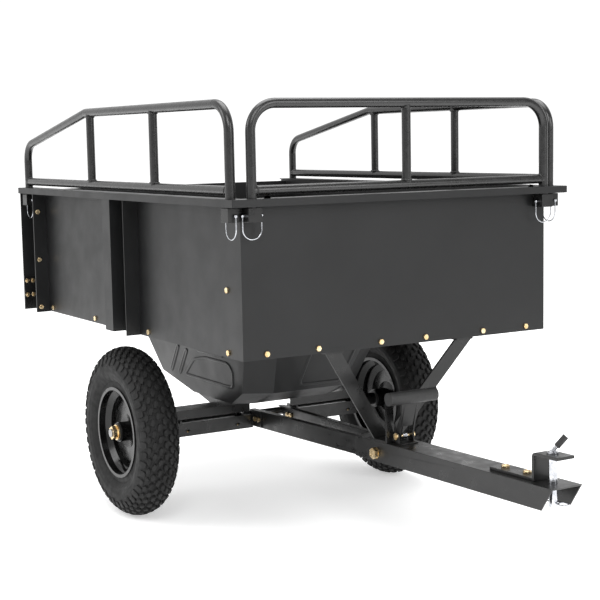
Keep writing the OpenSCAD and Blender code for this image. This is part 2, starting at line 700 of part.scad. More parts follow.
// One piece of rail as solid bar of radius r, with its feet run on by more
module side_rail_bar(r, more) {
  y0 = side_post_y[0];
  y1 = side_post_y[1];
  tube_path([[y0, tube_foot - more], [y0, rail_top], [slope_y, rail_top], [y1, slope_end],
    [y1, tube_foot - more]], [0, bend_r, 60, 45, 0], r);
  translate([y0, bar_z0, 0]) rotate([0, 90, 0]) cylinder(h = y1 - y0, r = r - weld_step);
  for (y = upright_y) translate([y, bar_z0, 0])
    rotate([-90, 0, 0]) cylinder(h = rail_top - bar_z0, r = r - 2 * weld_step);
}
// The rail is drawn lying down, then stands up on the side of the bed
module side_rail() translate([half_w + rail_out, 0, 0]) rotate([90, 0, 90]) difference() {
  side_rail_bar(tube_r, 0);
  side_rail_bar(tube_r - tube_wall, cut);
  for (y = side_post_y) cross_bore(y);
}
module rail_left() at_frame() color("#1f2122") side_of(-1) side_rail();
module rail_right() at_frame() color("#1f2122") side_of(1) side_rail();
module front_rail_bar(r, more) {
  x1 = front_post_x;
  tube_path([[-x1, tube_foot - more], [-x1, rail_top], [x1, rail_top], [x1, tube_foot - more]],
    [0, bend_r, bend_r, 0], r);
  translate([-x1, bar_z0, 0]) rotate([0, 90, 0]) cylinder(h = 2 * x1, r = r - weld_step);
  translate([0, bar_z0, 0])
    rotate([-90, 0, 0]) cylinder(h = rail_top - bar_z0, r = r - 2 * weld_step);
}
module rail_front() at_frame() color("#1f2122")
  translate([0, -bed_front - rail_out, 0]) rotate([90, 0, 0]) difference() {
    front_rail_bar(tube_r, 0);
    front_rail_bar(tube_r - tube_wall, cut);
    for (s = [-1, 1]) cross_bore(s * front_post_x);
  }

// Socket under the rim for one rail post: local x points out of the bed, y along the pin
module socket(from) difference() {
  span([from, -socket_w / 2, socket_hi - socket_h],
    [rail_out + tube_r + 4, socket_w / 2, socket_hi]);
  translate([rail_out, 0, 0]) bar_z(socket_hi - socket_h - cut, socket_hi + cut, tube_r + slip);
  translate([rail_out, 0, lock_z]) bar_y(-socket_w, socket_w, lock_d / 2 + slip);
}
// Each of the six lock places, given as its side of the cart and its index
module at_side_lock(k) translate([half_w, side_post_y[k], 0]) children();
module at_front_lock(s) translate([s * front_post_x, -bed_front, 0]) rotate([0, 0, -90]) children();
module rail_sockets() at_frame() color("#1d1f20") {
  both_sides() at_side_lock(0) socket(0);
  both_sides() at_side_lock(1) socket(rear_post_t - 2 * sheet);
  for (s = [-1, 1]) at_front_lock(s) socket(0);
}

// Lock pin: a pin through the socket, with a wire loop from one end to the other
module lock_pin() translate([rail_out, 0, lock_z]) {
  wire = 1.2;
  arm = 26;
  loop = lock_reach + 3;
  bar_y(-loop, loop, lock_d / 2);
  for (e = [-1, 1]) {
    translate([0, e * loop, 0]) sphere(r = lock_d / 2 + 0.8);
    translate([0, e * loop, 0]) bar_z(-arm, 0, wire);
  }
  translate([0, 0, -arm]) rotate([0, 90, 0]) rotate([0, 0, -90]) rotate_extrude(angle = 180)
    translate([loop, 0]) circle(r = wire);
}
module lock_pin_front_left() at_frame() color("#d5d7da") at_front_lock(-1) lock_pin();
module lock_pin_front_right() at_frame() color("#d5d7da") at_front_lock(1) lock_pin();
module lock_pin_side_left_front() at_frame() color("#d5d7da") side_of(-1) at_side_lock(0) lock_pin();
module lock_pin_side_left_rear() at_frame() color("#d5d7da") side_of(-1) at_side_lock(1) lock_pin();
module lock_pin_side_right_front() at_frame() color("#d5d7da") side_of(1) at_side_lock(0) lock_pin();
module lock_pin_side_right_rear() at_frame() color("#d5d7da") side_of(1) at_side_lock(1) lock_pin();

// ---- Tailgate ----

module tailgate_guides() at_frame() color("#232527") both_sides() {
  x1 = panel_in - sheet;
  x0 = x1 - guide_depth;
  y0 = gate_y - gate_t / 2 - guide_gap;
  y1 = gate_y + gate_t / 2 + guide_gap;
  z0 = floor_z + flange_h + seat;
  z1 = rim_z - 20;
  span([x1 - sheet, y0 - sheet, z0], [x1, y1 + sheet, z1]);
  span([x0, y0 - sheet, z0], [x1, y0, z1]);
  span([x0, y1, z0], [x1, y1 + sheet, z1]);
}
// Tailgate: a sheet with hemmed edges, folded to the thickness of its guides
module tailgate() at_frame() color("#2d2f31") {
  half = panel_in - 2 * sheet - guide_gap;
  z0 = floor_z + sheet + seat;
  lift = half - sheet - 2;
  y0 = gate_y - gate_t / 2;
  span([-lift, y0, z0], [lift, y0 + sheet, gate_top]);
  span([-lift, y0, gate_top - sheet], [lift, y0 + gate_t, gate_top]);
  span([-lift, y0, z0], [lift, y0 + gate_t, z0 + sheet]);
  both_sides() {
    span([lift - sheet, y0, z0], [lift, y0 + gate_t, gate_top]);
    span([lift - sheet, y0, z0 + flange_h], [half, y0 + gate_t, gate_top]);
  }
}

// ---- Front struts and latch ----

// Flat bar from a tab under the floor's front edge down to the foot plate on the tongue
module strut() {
  top = floor_z - slip;
  top_y = 14 - bed_front;
  low_x = 16;
  low_y = -strut_foot_y - 5;
  low_z = axle_z + foot_top - low_y * sin(tongue_rise);
  rise = top - strut_t - low_z;
  run = norm([strut_top_x - low_x, low_y - top_y, rise]);
  tab_x = strut_w / 2 + 6;
  difference() {
    union() {
      translate([low_x, low_y, low_z])
        rotate([asin((low_y - top_y) / run), atan((strut_top_x - low_x) / rise), 0])
          translate([-strut_w / 2, -strut_t / 2, -20]) cube([strut_w, strut_t, run + 40]);
      span([strut_top_x - tab_x, top_y - 8, top - strut_t],
        [strut_top_x + tab_x, top_y + 40, top]);
    }
    span([-bed_w, -2 * bed_front, top], [bed_w, 0, rim_z]);
    on_tongue() span([-bed_w, -2 * bed_front, -axle_z], [bed_w, 0, foot_top]);
    span([-bed_w, -2 * bed_front, 0], [slip, 0, rim_z]);
  }
}
module strut_left() at_frame() color("#26282a") side_of(-1) strut();
module strut_right() at_frame() color("#26282a") side_of(1) strut();
// Foot plate that lands on the tongue, with the upright striker that the latch holds
module strut_foot() at_frame() on_tongue() color("#1f2122") {
  low = tongue_top + seat;
  span([-foot_half_x, foot_front, low], [foot_half_x, 15 - strut_foot_y, foot_top]);
  span([-foot_half_x, foot_front, low],
    [20 - foot_half_x, foot_front + strut_foot_t, low + striker_h]);
}

// ---- Bolts on the bed ----

module panel_bolts() at_frame() color("#c9a34a") both_sides() {
  pair = 2 * sheet + slip;
  for (x = front_bolt_x) translate([x, -bed_front, floor_z + bolt_row])
    rotate([90, 0, 0]) bolt(bolt_d, pair);
  translate([half_w, side_bolt_y[0], floor_z + bolt_row])
    rotate([0, 90, 0]) bolt(bolt_d, pair + sheet);
  translate([half_w, side_bolt_y[0], wrap_bolt_z]) rotate([0, 90, 0]) bolt(bolt_d, 2 * sheet);
  for (k = [1:3]) translate([panel_in, side_bolt_y[k], floor_z + bolt_row])
    rotate([0, 90, 0]) bolt(bolt_d, pair);
  for (z = post_bolt_z) translate([post_bolt_x, rear_post_y - sheet, z])
    rotate([90, 0, 0]) bolt(bolt_d, sheet + rear_post_t);
  for (z = plate_bolt_z) for (x = plate_bolt_x) translate([x, bed_rear, z])
    rotate([-90, 0, 0]) bolt(bolt_d, rear_post_t + plate_t);
  translate([rim_bolt_x, -bed_front - rail_out, rim_z]) bolt(bolt_d, rim_t);
}

// ---- Latch lever ----

module at_lever() at_frame() on_tongue() translate([0, -lever_y, lever_z])
  rotate([lever_lean, 0, 0]) children();
module lever_tang(play) span([-12 - play, rod_y - 3 - play, 0],
  [12 + play, rod_y + play, grip_rise]);
module latch_lever() at_lever() color("#1d1f20") difference() {
  neck = grip_rise - grip_d / 2 - seat;
  union() {
    for (x = [-cheek_x - cheek_t, cheek_x]) slab_x(x, cheek_t) {
      circle(r = 10);
      polygon([[-10, 0], [10, 0], [6, 30], [rod_y, neck], [rod_y - 3, neck]]);
    }
    translate([0, rod_y, 0]) rotate([90, 0, 0]) linear_extrude(3) polygon([
      [-cheek_x - cheek_t, 26], [cheek_x + cheek_t, 26], [25, neck], [-25, neck]]);
    intersection() {
      lever_tang(0);
      span([-grip_len, -grip_d, neck - cut], [grip_len, grip_d, grip_rise]);
    }
    translate([0, rod_y, grip_rise]) bar_x(2 - grip_len / 2, grip_len / 2 - 2, rod_r);
  }
  bar_x(-tongue_w, tongue_w, lever_pin_d / 2 + slip);
}
module lever_grip() at_lever() color("#111112") difference() {
  translate([0, rod_y, grip_rise]) bar_x(-grip_len / 2, grip_len / 2, grip_d / 2);
  translate([0, rod_y, grip_rise]) bar_x(2 - grip_len / 2 - slip, grip_len / 2 - 2 + slip, rod_r + slip);
  lever_tang(slip);
}

// ---- Hitch pin ----

module at_handle() translate([0, 0, handle_z]) rotate([0, 42, -35]) children();
module hitch_pin() at_frame() on_tongue() translate([0, -hitch_pin_y, 0]) color("#c8cacd")
  difference() {
    union() {
      bar_z(pin_lo, handle_z, pin_d / 2);
      bar_z(jaw_top + seat, jaw_top + seat + 3, pin_d / 2 + 3);
      at_handle() bar_z(-3, handle_len, handle_r);
    }
    translate([0, 0, clip_z]) bar_y(-pin_d, pin_d, clip_d / 2 + slip);
  }
module pin_grip() at_frame() on_tongue() translate([0, -hitch_pin_y, 0]) color("#151516")
  at_handle() difference() {
    bar_z(11, handle_len + 2, 6);
    bar_z(11 - cut, handle_len + slip, handle_r + slip);
  }
// Wire clip: a leg through the pin, a ring in front of it, and a leg round its side
module hairpin() at_frame() on_tongue() translate([0, -hitch_pin_y, clip_z]) color("#d5d7da") {
  leg_x = pin_d / 2 + clip_d / 2 + 0.6;
  ring_r = 10;
  ring_y = -22;
  leg_y = ring_y + sqrt(ring_r * ring_r - leg_x * leg_x / 4);
  bar_y(leg_y, 16, clip_d / 2);
  translate([leg_x, 0, 0]) bar_y(leg_y, 6, clip_d / 2 - 0.1);
  translate([leg_x / 2, ring_y, 0]) rotate_extrude() translate([ring_r, 0])
    circle(d = clip_d - 0.4);
}

tongue_channel();
tongue_rails();
tongue_bolt();
axle_shaft();
axle_bracket_left();
axle_bracket_right();
chassis_bolts();
axle_sleeves();
hub_washers();
axle_nuts();
hitch_bracket();
hitch_bolts();
lever_base();
lever_pivot();
lever_spring();
tyre_left();
rim_disc_left();
hub_left();
hub_bushes_left();
tyre_right();
rim_disc_right();
hub_right();
hub_bushes_right();
floor_pan();
bed_saddle_left();
bed_saddle_right();
front_panel();
side_panel_front_left();
side_panel_front_right();
side_panel_rear_left();
side_panel_rear_right();
mid_post_left();
mid_post_right();
rear_post_left();
rear_post_right();
rear_post_plates();
rim_front();
rim_left();
rim_right();
rail_front();
rail_left();
rail_right();
rail_sockets();
tailgate_guides();
strut_left();
strut_right();
strut_foot();
panel_bolts();
tailgate();
latch_lever();
lever_grip();
hitch_pin();
pin_grip();
hairpin();
lock_pin_front_left();
lock_pin_front_right();
lock_pin_side_left_front();
lock_pin_side_left_rear();
lock_pin_side_right_front();
lock_pin_side_right_rear();
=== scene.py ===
import json
import math
import bmesh
import bpy
from mathutils import Matrix, Vector


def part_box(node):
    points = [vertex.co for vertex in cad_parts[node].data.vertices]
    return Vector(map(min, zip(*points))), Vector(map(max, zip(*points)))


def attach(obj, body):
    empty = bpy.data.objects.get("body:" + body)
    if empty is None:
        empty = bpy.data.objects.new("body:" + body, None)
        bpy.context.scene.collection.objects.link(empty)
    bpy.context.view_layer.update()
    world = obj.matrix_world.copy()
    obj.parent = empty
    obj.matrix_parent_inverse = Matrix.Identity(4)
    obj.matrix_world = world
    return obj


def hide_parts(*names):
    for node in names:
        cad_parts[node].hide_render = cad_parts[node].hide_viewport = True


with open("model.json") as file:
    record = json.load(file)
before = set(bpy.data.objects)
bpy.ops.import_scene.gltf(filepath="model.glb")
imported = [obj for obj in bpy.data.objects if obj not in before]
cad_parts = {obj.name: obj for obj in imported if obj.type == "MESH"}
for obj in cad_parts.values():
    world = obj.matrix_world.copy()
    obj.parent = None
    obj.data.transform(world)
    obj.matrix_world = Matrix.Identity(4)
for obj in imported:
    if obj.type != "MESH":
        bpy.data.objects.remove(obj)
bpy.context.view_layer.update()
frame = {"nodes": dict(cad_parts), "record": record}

NODES = frame["nodes"]
# Place of the axle along Y in the frame, in millimetres; the side rails' uprights from it, the height
# of the rails' lower bar and the radius of their tube, in metres
AXLE_Y = 1000 * sum(corner.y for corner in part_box("axle_shaft")) / 2
UPRIGHTS = (-0.258, 0.09)
RAIL_BAR_Z = 0.779
RAIL_R = 0.010
# The well's outside, in millimetres from the axle: its half width, half length in front and height
# at the edge where its walls turn in, how much longer it is behind, and how its walls lean
WELL_HALF_X, WELL_HALF_Y, WELL_EDGE_Z = 155, 215, 291
WELL_LONGER_BEHIND = 80
SIDE_SLOPE, END_SLOPE = 35 / 152, 85 / 152
BEAD_TALL, BEAD_WIDE = 0.0026, 0.0042


# ---------------------------------------------------------------- camera, floor and light
def make_camera():
    """The camera solved from the photo, with its angles in radians"""
    yaw, pitch, roll = 0.536, -0.1151, -0.0192
    forward = Vector((math.sin(yaw) * math.cos(pitch), math.cos(yaw) * math.cos(pitch), math.sin(pitch)))
    right = Vector((math.cos(yaw), -math.sin(yaw), 0))
    up = right.cross(forward)
    r2 = right * math.cos(roll) + up * math.sin(roll)
    u2 = up * math.cos(roll) - right * math.sin(roll)
    data = bpy.data.cameras.new("camera")
    data.lens, data.sensor_width = 83.72, 36
    data.clip_end = 60
    cam = bpy.data.objects.new("camera", data)
    bpy.context.scene.collection.objects.link(cam)
    m = Matrix((r2, u2, -forward)).transposed().to_4x4()
    m.translation = Vector((-1.66926, -2.71235, 0.87704))
    cam.matrix_world = m
    bpy.context.scene.camera = cam


def node(nt, kind, **inputs):
    n = nt.nodes.new(kind)
    for k, v in inputs.items():
        n.inputs[k.replace("_", " ")].default_value = v
    return n


def noise(nt, scale, detail=4.0, stretch=None, rough=0.5):
    co = nt.nodes.new("ShaderNodeTexCoord")
    mp = nt.nodes.new("ShaderNodeMapping")
    if stretch:
        mp.inputs["Scale"].default_value = stretch
    tex = node(nt, "ShaderNodeTexNoise", Scale=scale, Detail=detail, Roughness=rough)
    nt.links.new(co.outputs["Object"], mp.inputs["Vector"])
    nt.links.new(mp.outputs["Vector"], tex.inputs["Vector"])
    return tex.outputs["Fac"]


def ramp(nt, fac, stops):
    r = nt.nodes.new("ShaderNodeValToRGB")
    els = r.color_ramp.elements
    els[0].position, els[0].color = stops[0][0], (*stops[0][1], 1)
    els[1].position, els[1].color = stops[-1][0], (*stops[-1][1], 1)
    for p, c in stops[1:-1]:
        e = els.new(p)
        e.color = (*c, 1)
    nt.links.new(fac, r.inputs["Fac"])
    return r.outputs["Color"]


def span(nt, fac, lo, hi, at=(0.35, 0.65)):
    m = node(nt, "ShaderNodeMapRange")
    for k, v in (("From Min", at[0]), ("From Max", at[1]), ("To Min", lo), ("To Max", hi)):
        m.inputs[k].default_value = v
    nt.links.new(fac, m.inputs["Value"])
    return m.outputs["Result"]


def material(name, dark, light, rough, metallic=0.0, scale=9.0, bumps=(), stretch=None, coat=0.0,
             specular=0.5, coat_rough=0.15):
    """dark and light are the ends of the colour's slow variation, rough the ends of the gloss's;
    bumps are (noise scale, strength, distance in metres) layers from coarse to fine"""
    m = bpy.data.materials.new(name)
    m.use_nodes = True
    nt = m.node_tree
    bsdf = nt.nodes["Principled BSDF"]
    bsdf.inputs["Metallic"].default_value = metallic
    bsdf.inputs["Specular IOR Level"].default_value = specular
    bsdf.inputs["Coat Weight"].default_value = coat
    bsdf.inputs["Coat Roughness"].default_value = coat_rough
    slow = noise(nt, scale, 5, stretch)
    nt.links.new(ramp(nt, slow, [(0.3, dark), (0.7, light)]), bsdf.inputs["Base Color"])
    nt.links.new(span(nt, noise(nt, scale * 3.1, 6, stretch), *rough), bsdf.inputs["Roughness"])
    last = None
    for s, strength, dist in bumps:
        b = node(nt, "ShaderNodeBump", Strength=strength, Distance=dist)
        nt.links.new(noise(nt, s, 3, stretch), b.inputs["Height"])
        if last:
            nt.links.new(last, b.inputs["Normal"])
        last = b.outputs["Normal"]
    if last:
        nt.links.new(last, bsdf.inputs["Normal"])
    return m


def grey(v, warm=0.0):
    return (v * (1 + warm), v, v * (1 - warm))


MAT = {
    "frame_steel": material("satin_black_coat", grey(0.005), grey(0.009), (0.26, 0.38), scale=14,
                            specular=0.36, bumps=[(900, 0.12, 0.0002), (2600, 0.1, 0.0001)], coat=0.06),
    "bed_steel": material("charcoal_powder_coat", grey(0.007, -0.03), grey(0.0105, -0.03), (0.38, 0.48),
                          scale=5, specular=0.3, coat=0.03,
                          bumps=[(6, 0.05, 0.002), (1100, 0.14, 0.0002), (2900, 0.1, 0.0001)]),
    "rail_steel": material("rail_coat", grey(0.006), grey(0.01), (0.24, 0.34), scale=20, specular=0.5,
                           bumps=[(1000, 0.1, 0.0002)], coat=0.12),
    "rim_paint": material("rim_gloss", grey(0.003), grey(0.005), (0.16, 0.28), scale=18, specular=0.3,
                          bumps=[(240, 0.05, 0.0003)], coat=0.12, coat_rough=0.08),
    "tyre_rubber": material("tyre_rubber", grey(0.007), grey(0.014), (0.6, 0.78), scale=24,
                            bumps=[(160, 0.2, 0.0006), (900, 0.3, 0.0003)], specular=0.28),
    "bush_plastic": material("bush_nylon", grey(0.012), grey(0.02), (0.4, 0.55), scale=40,
                             bumps=[(1200, 0.1, 0.0002)]),
    "gold_zinc": material("yellow_zinc", (0.62, 0.41, 0.17), (0.92, 0.78, 0.52), (0.22, 0.36), metallic=1.0,
                          scale=90, bumps=[(1400, 0.1, 0.0001)]),
    "bright_zinc": material("bright_zinc", (0.34, 0.35, 0.37), (0.6, 0.61, 0.64), (0.12, 0.26),
                            metallic=1.0, scale=120, bumps=[(1700, 0.1, 0.0001)]),
    "shaft_steel": material("drawn_steel", grey(0.2), grey(0.36), (0.25, 0.4), metallic=1.0,
                            scale=60, stretch=(0.05, 1, 1), bumps=[(800, 0.15, 0.0001)]),
    "grip_vinyl": material("grip_vinyl", grey(0.008), grey(0.014), (0.42, 0.58), scale=60,
                           bumps=[(500, 0.25, 0.0003), (2200, 0.2, 0.0001)]),
}


def stage():
    m = bpy.data.materials.new("pale_floor")
    m.use_nodes = True
    b = m.node_tree.nodes["Principled BSDF"]
    b.inputs["Base Color"].default_value = (0.96, 0.96, 0.96, 1)
    b.inputs["Roughness"].default_value = 0.9
    b.inputs["Specular IOR Level"].default_value = 0.1
    b.inputs["Emission Color"].default_value = (1, 1, 1, 1)
    b.inputs["Emission Strength"].default_value = 0.42
    me = bpy.data.meshes.new("floor")
    me.from_pydata([(-30, -30, 0), (30, -30, 0), (30, 30, 0), (-30, 30, 0)], [], [(0, 1, 2, 3)])
    me.materials.append(m)
    o = bpy.data.objects.new("floor", me)
    o.location.z = -0.0006
    bpy.context.scene.collection.objects.link(o)
    w = bpy.data.worlds.new("studio")
    w.use_nodes = True
    nt = w.node_tree
    back = nt.nodes["Background"]
    back.inputs["Color"].default_value = (1, 1, 1, 1)
    # white all round and above, dimmer in the half of the studio that the cart's front faces
    co = nt.nodes.new("ShaderNodeTexCoord")
    xyz = nt.nodes.new("ShaderNodeSeparateXYZ")
    nt.links.new(co.outputs["Generated"], xyz.inputs["Vector"])
    nt.links.new(span(nt, xyz.outputs["Y"], 0.38, 1.08, (-0.45, 0.1)), back.inputs["Strength"])
    bpy.context.scene.world = w
    for name, place, aim, size, watts in (
            ("key", (-2.0, -3.8, 3.8), (0, 0, 0.5), 2.6, 120),
            ("front", (1.6, -4.2, 2.2), (0, 0, 0.5), 2.2, 70),
            ("side", (-4.2, 1.6, 2.6), (0, 0.5, 0.7), 1.8, 45),
            ("top", (0.2, 0.4, 4.2), (0, 0, 0.5), 3.2, 130)):
        d = bpy.data.lights.new(name, "AREA")
        d.size, d.energy = size, watts
        o = bpy.data.objects.new(name, d)
        o.location = place
        o.rotation_euler = (Vector(aim) - Vector(place)).to_track_quat("-Z", "Y").to_euler()
        bpy.context.scene.collection.objects.link(o)
    bpy.context.scene.view_settings.view_transform = "Standard"


# ---------------------------------------------------------------- mesh helpers
def piece(name, bm, slot, body, angle=0.6):
    me = bpy.data.meshes.new(name)
    bmesh.ops.recalc_face_normals(bm, faces=bm.faces)
    bm.to_mesh(me)
    bm.free()
    for p in me.polygons:
        p.use_smooth = True
    me.set_sharp_from_angle(angle=angle)
    me.materials.append(MAT[slot])
    o = bpy.data.objects.new(name, me)
    bpy.context.scene.collection.objects.link(o)
    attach(o, body)
    return o


def revolve(bm, profile, place, steps):
    """profile is (radius, along) points; place maps (radius, along, angle) to a point"""
    rings = []
    for i in range(steps):
        a = 2 * math.pi * i / steps
        rings.append([bm.verts.new(place(r, t, a)) for r, t in profile])
    n = len(profile)
    for i in range(steps):
        p, q = rings[i], rings[(i + 1) % steps]
        for k in range(n - 1):
            bm.faces.new((p[k], p[k + 1], q[k + 1], q[k]))


def loops(bm, rows, cap_first=False, cap_last=False):
    """Joins closed loops of points with quads"""
    made = [[bm.verts.new(p) for p in row] for row in rows]
    n = len(made[0])
    for a, b in zip(made, made[1:]):
        for k in range(n):
            bm.faces.new((a[k], a[(k + 1) % n], b[(k + 1) % n], b[k]))
    if cap_first:
        bm.faces.new(made[0][::-1])
    if cap_last:
        bm.faces.new(made[-1])


# ---------------------------------------------------------------- tyres
def tyre(side):
    """A carcass with ribs on its side walls, and the tread's hexagonal knobs and shoulder lugs on it"""
    lo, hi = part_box("tyre_" + side)
    centre = (lo + hi) / 2
    big = (hi.z - lo.z) / 2
    wide = (hi.x - lo.x) / 2
    lug = 0.0072        # height of the tread's knobs
    ring_r = big - wide
    ra, rb = wide - lug, wide - 0.0024      # half height and half width of the carcass's section
    rim_lo, rim_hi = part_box("rim_disc_" + side)
    lip = (rim_hi.z - rim_lo.z) / 2

    def at(r, t, a):
        return centre + Vector((t, r * math.cos(a), r * math.sin(a)))

    def skin(phi, up=0.0):
        c, s = math.cos(phi), math.sin(phi)
        return ring_r + (ra + up) * c, (rb + up * 0.55) * s

    bm = bmesh.new()
    prof = []
    for k in range(-34, 35):
        r, t = skin(math.radians(k * 4))
        # a scuff rib and two fine mould lines on each side wall
        for line, width, tall in ((98, 2.2, 0.0012), (112, 1.4, 0.0009), (84, 1.2, 0.0007)):
            d = (abs(k * 4) - line) / width
            t += math.copysign(tall, t) * math.exp(-d * d) if abs(k) > 5 else 0
        prof.append((r, t))
    seat = lip - 0.0048
    inner = [(seat + 0.006, 0.0352), (seat, 0.034), (seat, 0.027), (seat + 0.012, 0.027)]
    prof = ([(r, -t) for r, t in reversed(inner)] + prof + inner)
    revolve(bm, prof, at, 144)
    carcass = piece("tyre_carcass_" + side, bm, "tyre_rubber", "wheel_" + side, angle=0.9)
    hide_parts("tyre_" + side)

    bm = bmesh.new()
    pitches = 46
    step = 2 * math.pi / pitches

    def block(theta, phi, outline, tall):
        """outline is (angle round the wheel, angle across the section) pairs about the block's middle"""
        rows = []
        for up, grow in ((-0.001, 1.04), (tall * 0.8, 0.97), (tall * 0.98, 0.86), (tall, 0.7)):
            row = []
            for du, dv in outline:
                r, t = skin(phi + dv * grow, up)
                row.append(at(r, t, theta + du * grow))
            rows.append(row)
        loops(bm, rows, False, True)

    def hexagon(du, dv, skew):
        corners = ((-1, 0), (-0.5, 1), (0.5, 1), (1, 0), (0.5, -1), (-0.5, -1))
        return [(du * (x + skew * y), dv * y) for x, y in corners]

    deg = math.radians
    # each row's angle across the section, shift and half length in pitches, half width and skew
    rows = ((0, 0, 0.34, 5.6, 0), (15.5, 0.5, 0.34, 5.6, 0.3),
            (31, 0, 0.35, 5.6, 0.25), (46, 0.5, 0.36, 5.6, 0.15))
    outermost = rows[-1][0]
    for i in range(pitches):
        for phi, shift, du, dv, skew in rows:
            for s in ((1, -1) if phi else (1,)):
                th = (i + shift) * step
                tall = lug * (1.0 - 0.12 * (phi / outermost) ** 2)
                block(th, deg(phi) * s, hexagon(du * step, deg(dv), skew * s), tall)
        for s in (1, -1):
            # long shoulder lugs, every second one reaching further down the side
            half = 13 if i % 2 else 9.5
            shape = [(-0.30 * step, -deg(half)), (0.30 * step, -deg(half)),
                     (0.34 * step, deg(half * 0.4)), (0.22 * step, deg(half)),
                     (-0.22 * step, deg(half)), (-0.34 * step, deg(half * 0.4))]
            block(i * step, s * deg(53.5 + half), shape[::s], lug * 0.72)
    piece("tyre_tread_" + side, bm, "tyre_rubber", "wheel_" + side, angle=0.5)


# ---------------------------------------------------------------- bolts
def components(name):
    """Loose parts of a CAD node as lists of points"""
    me = NODES[name].data
    key = {}
    alias = []
    for v in me.vertices:
        k = tuple(round(c * 2e5) for c in v.co)
        alias.append(key.setdefault(k, len(key)))
    parent = list(range(len(key)))

    def find(i):
        while parent[i] != i:
            parent[i] = parent[parent[i]]
            i = parent[i]
        return i
    for e in me.edges:
        a, b = find(alias[e.vertices[0]]), find(alias[e.vertices[1]])
        if a != b:
            parent[a] = b
    out = {}
    for v, k in zip(me.vertices, alias):
        out.setdefault(find(k), []).append(v.co.copy())
    return list(out.values())


def fastener(bm, pts, body_axis):
    """A chamfered hex head with a washer face and a threaded shank, or a nut, on a loose part's axis"""
    ax = body_axis
    along = [p.dot(ax) for p in pts]
    lo, hi = min(along), max(along)
    cross = [(p - ax * p.dot(ax)) for p in pts]
    mid = sum(cross, Vector()) / len(cross)
    far = [(q - mid).length for q in cross]
    rad = max(far)
    wide = [a for a, f in zip(along, far) if f > rad * 0.98]
    w0, w1 = min(wide), max(wide)
    tip = next(q for q, f in zip(cross, far) if f > rad * 0.98)
    e1 = (tip - mid).normalized()
    e2 = ax.cross(e1)

    h = w1 - w0
    is_nut = (hi - lo) - h < h * 0.3
    n = 24

    def ring(r, t):
        return [mid + ax * t + (e1 * math.cos(a) + e2 * math.sin(a)) * r
                for a in (2 * math.pi * k / n for k in range(n))]

    def hexed(t, r_flat, cut):
        """Hexagon as n points, clipped to a circle of radius cut"""
        row = []
        for k in range(n):
            a = 2 * math.pi * k / n
            local = (a % (math.pi / 3)) - math.pi / 6
            r = min(r_flat / math.cos(local), cut)
            row.append(mid + ax * t + (e1 * math.cos(a) + e2 * math.sin(a)) * r)
        return row
    flat = rad * math.cos(math.pi / 6)
    bore = rad * 0.46
    outer_hi = hi - w1 < w0 - lo
    ends = (w0, w1) if outer_hi else (w1, w0)
    s = 1 if outer_hi else -1
    seat_t, top_t = ends
    rows = [hexed(seat_t, flat * 0.97, rad * 0.92), hexed(seat_t + s * h * 0.1, flat, rad),
            hexed(top_t - s * h * 0.22, flat, rad), hexed(top_t - s * h * 0.08, flat, rad * 0.93),
            hexed(top_t, flat * 0.9, rad * 0.84)]
    if is_nut:
        rows += [ring(bore * 1.12, top_t), ring(bore, top_t - s * h * 0.08), ring(bore, seat_t)]
        loops(bm, rows)
        return
    rows += [ring(rad * 0.6, top_t), ring(rad * 0.55, top_t - s * h * 0.06),
             ring(rad * 0.2, top_t - s * h * 0.06)]
    loops(bm, rows, True, True)
    far_t = lo if outer_hi else hi
    shank = abs(far_t - seat_t)
    shank_r = min(f for f in far if f > rad * 0.2)
    turns = max(4, int(shank / 0.0011))
    rows = [ring(shank_r, seat_t)]
    for k in range(turns * 2):
        t = seat_t - s * shank * (k + 1) / (turns * 2 + 1)
        rows.append(ring(shank_r * (0.93 if k % 2 else 1.0), t))
    rows.append(ring(shank_r * 0.82, far_t))
    loops(bm, rows, False, True)


def bolts(name, body):
    bm = bmesh.new()
    for pts in components(name):
        ext = [max(p[k] for p in pts) - min(p[k] for p in pts) for k in range(3)]
        best = None
        for ax in (Vector((1, 0, 0)), Vector((0, 1, 0)), Vector((0, 0, 1))):
            rest = sorted(ext[k] for k in range(3) if ax[k] < 0.5)
            score = rest[0] / rest[1]
            if best is None or score > best[0]:
                best = (score, ax)
        fastener(bm, pts, best[1])
    o = piece(name + "_detail", bm, "gold_zinc", body, angle=0.45)
    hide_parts(name)


# ---------------------------------------------------------------- embossing and welds
def emboss(bm, outline, normal, tall, width):
    """A raised rounded bead that follows a closed outline of points"""
    pts = [Vector(p) for p in outline]
    n = len(pts)
    rows = []
    for i, p in enumerate(pts):
        t = (pts[(i + 1) % n] - pts[i - 1]).normalized()
        side = t.cross(normal).normalized()
        rows.append([p + side * width * math.cos(w) + normal * (tall * math.sin(w) - 0.0004)
                     for w in (math.pi * k / 6 for k in range(7))])
    made = [[bm.verts.new(q) for q in row] for row in rows]
    for a, b in zip(made, made[1:] + made[:1]):
        for k in range(6):
            bm.faces.new((a[k], a[k + 1], b[k + 1], b[k]))


def weld_ring(bm, centre, axis, r, fat=0.0016, rough=0.35):
    """A rippled weld bead round a tube of radius r"""
    axis = Vector(axis).normalized()
    e1 = axis.orthogonal().normalized()
    e2 = axis.cross(e1)
    steps = 40
    rows = []
    for i in range(steps):
        a = 2 * math.pi * i / steps
        out = e1 * math.cos(a) + e2 * math.sin(a)
        f = fat * (1 + rough * math.sin(a * 13 + centre[0] * 90))
        rows.append([Vector(centre) + out * (r + f * math.cos(w)) + axis * f * math.sin(w)
                     for w in (2 * math.pi * k / 8 for k in range(8))])
    made = [[bm.verts.new(q) for q in row] for row in rows]
    for a, b in zip(made, made[1:] + made[:1]):
        for k in range(8):
            bm.faces.new((a[k], a[(k + 1) % 8], b[(k + 1) % 8], b[k]))


def at_axle(x, y, z):
    """A point measured in millimetres from the axle's middle plane, in the row's frame"""
    return Vector((x, y + AXLE_Y, z)) / 1000


